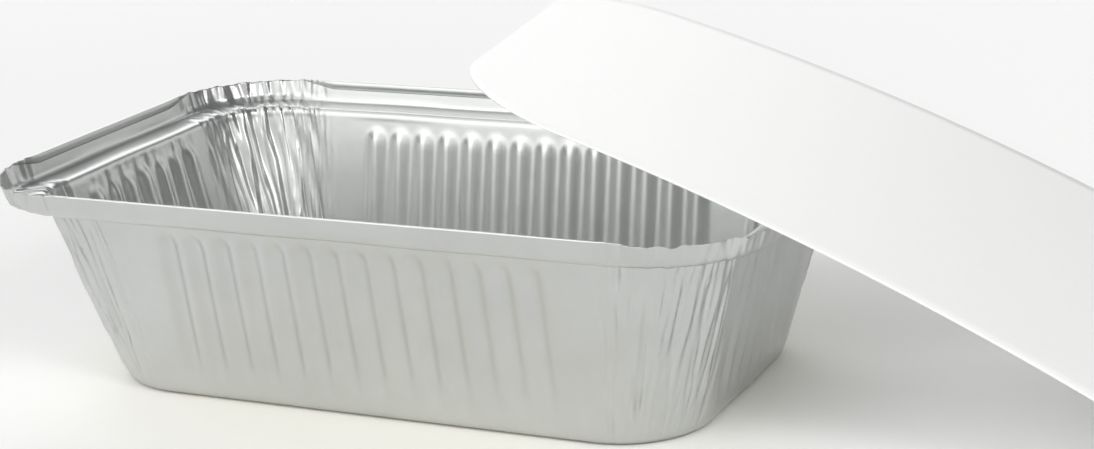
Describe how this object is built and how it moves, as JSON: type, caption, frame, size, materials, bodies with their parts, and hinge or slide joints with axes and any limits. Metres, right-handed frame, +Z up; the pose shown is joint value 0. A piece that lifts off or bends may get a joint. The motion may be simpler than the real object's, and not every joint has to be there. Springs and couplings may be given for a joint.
{
  "type": "foil food container",
  "caption": "Pressed foil food tray with fluted walls, gathered corners and a hemmed standing lip, with its white board lid taken off and leaning on one end.",
  "frame": {"origin": "centre of the tray's flat underside", "axes": "+X along the tray's length, towards the end that the lid leans on; +Y across its width, away from the viewer; +Z up"},
  "size_m": [0.3046, 0.1505, 0.0866],
  "materials": {
    "foil": "bright rolled foil, creased at the corners",
    "board": "smooth white coated board"
  },
  "bodies": {
    "root": {"tray": "foil", "lid": "board"}
  },
  "joints": []
}
